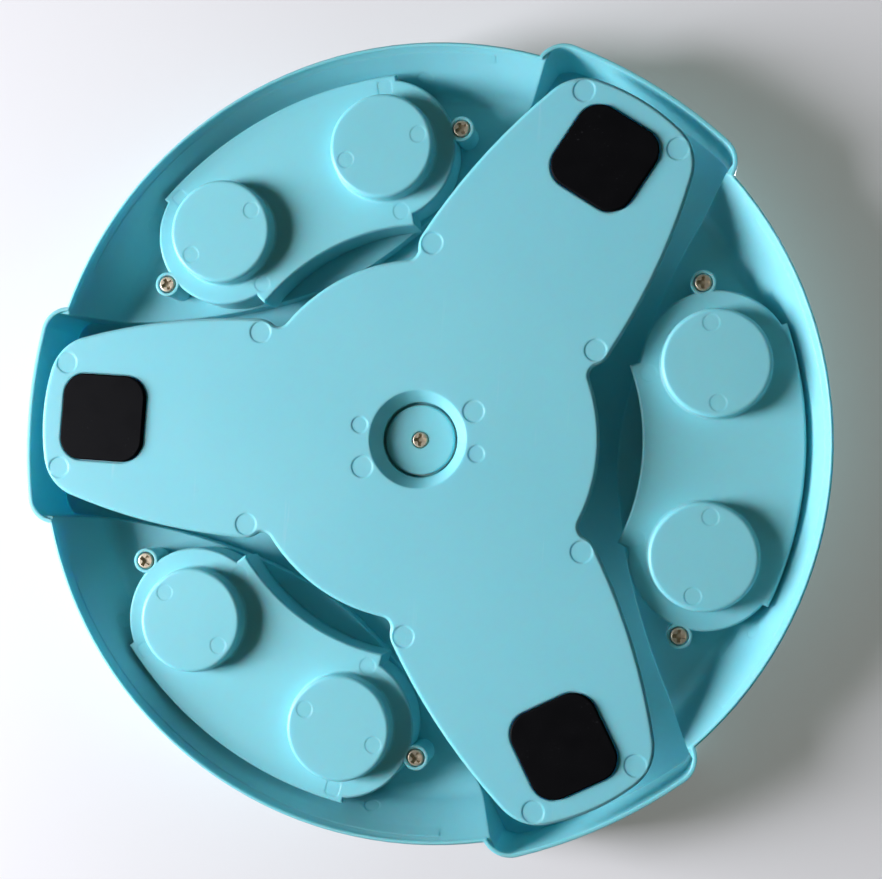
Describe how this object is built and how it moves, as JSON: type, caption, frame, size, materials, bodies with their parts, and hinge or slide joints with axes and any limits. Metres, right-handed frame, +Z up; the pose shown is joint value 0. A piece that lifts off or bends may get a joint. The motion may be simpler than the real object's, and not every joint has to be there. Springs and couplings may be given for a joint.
{
  "type": "pottery wheel",
  "caption": "Low hand-spun pottery wheel: a weighted round wheel head with finger lobes turns on a three-armed base with rubber feet.",
  "frame": {"origin": "on the spin axis, at the table plane under the rubber feet", "axes": "+Z up along the spin axis, -X along the arm of foot_pad_1"},
  "size_m": [0.286, 0.2806, 0.0379],
  "materials": {
    "aqua_moulding": "satin moulded",
    "weight_steel": "turned",
    "screw_steel": "plated",
    "insert_brass": "machined",
    "bearing_steel": "ground",
    "bearing_plastic": "moulded",
    "foot_rubber": "matt"
  },
  "bodies": {
    "base": {"base_plate": "aqua_moulding", "foot_pad_1": "foot_rubber", "foot_pad_2": "foot_rubber", "foot_pad_3": "foot_rubber", "spindle_bush": "bearing_plastic", "race_lower": "bearing_steel"},
    "wheel": {"wheel_head": "aqua_moulding", "top_plate": "aqua_moulding", "pod_cover_1": "aqua_moulding", "pod_cover_2": "aqua_moulding", "pod_cover_3": "aqua_moulding", "weight_1": "weight_steel", "weight_2": "weight_steel", "weight_3": "weight_steel", "weight_4": "weight_steel", "weight_5": "weight_steel", "weight_6": "weight_steel", "pod_screws": "screw_steel", "spindle_insert": "insert_brass", "retaining_cap": "aqua_moulding", "cap_screw": "screw_steel", "thrust_washer": "bearing_plastic", "race_upper": "bearing_steel"},
    "ball_ring": {"ball_cage": "bearing_plastic", "bearing_balls": "bearing_steel"}
  },
  "joints": [
    {"name": "wheel_spin", "type": "hinge", "parent": "base", "child": "wheel", "pos_m": [0, 0, 0.02], "axis": [0, 0, 1], "continuous": true},
    {"name": "ball_ring_spin", "type": "hinge", "parent": "base", "child": "ball_ring", "pos_m": [0, 0, 0.02], "axis": [0, 0, 1], "continuous": true}
  ],
  "couplings": [
    {"joint": "ball_ring_spin", "follows": "wheel_spin", "ratio": 0.5}
  ]
}
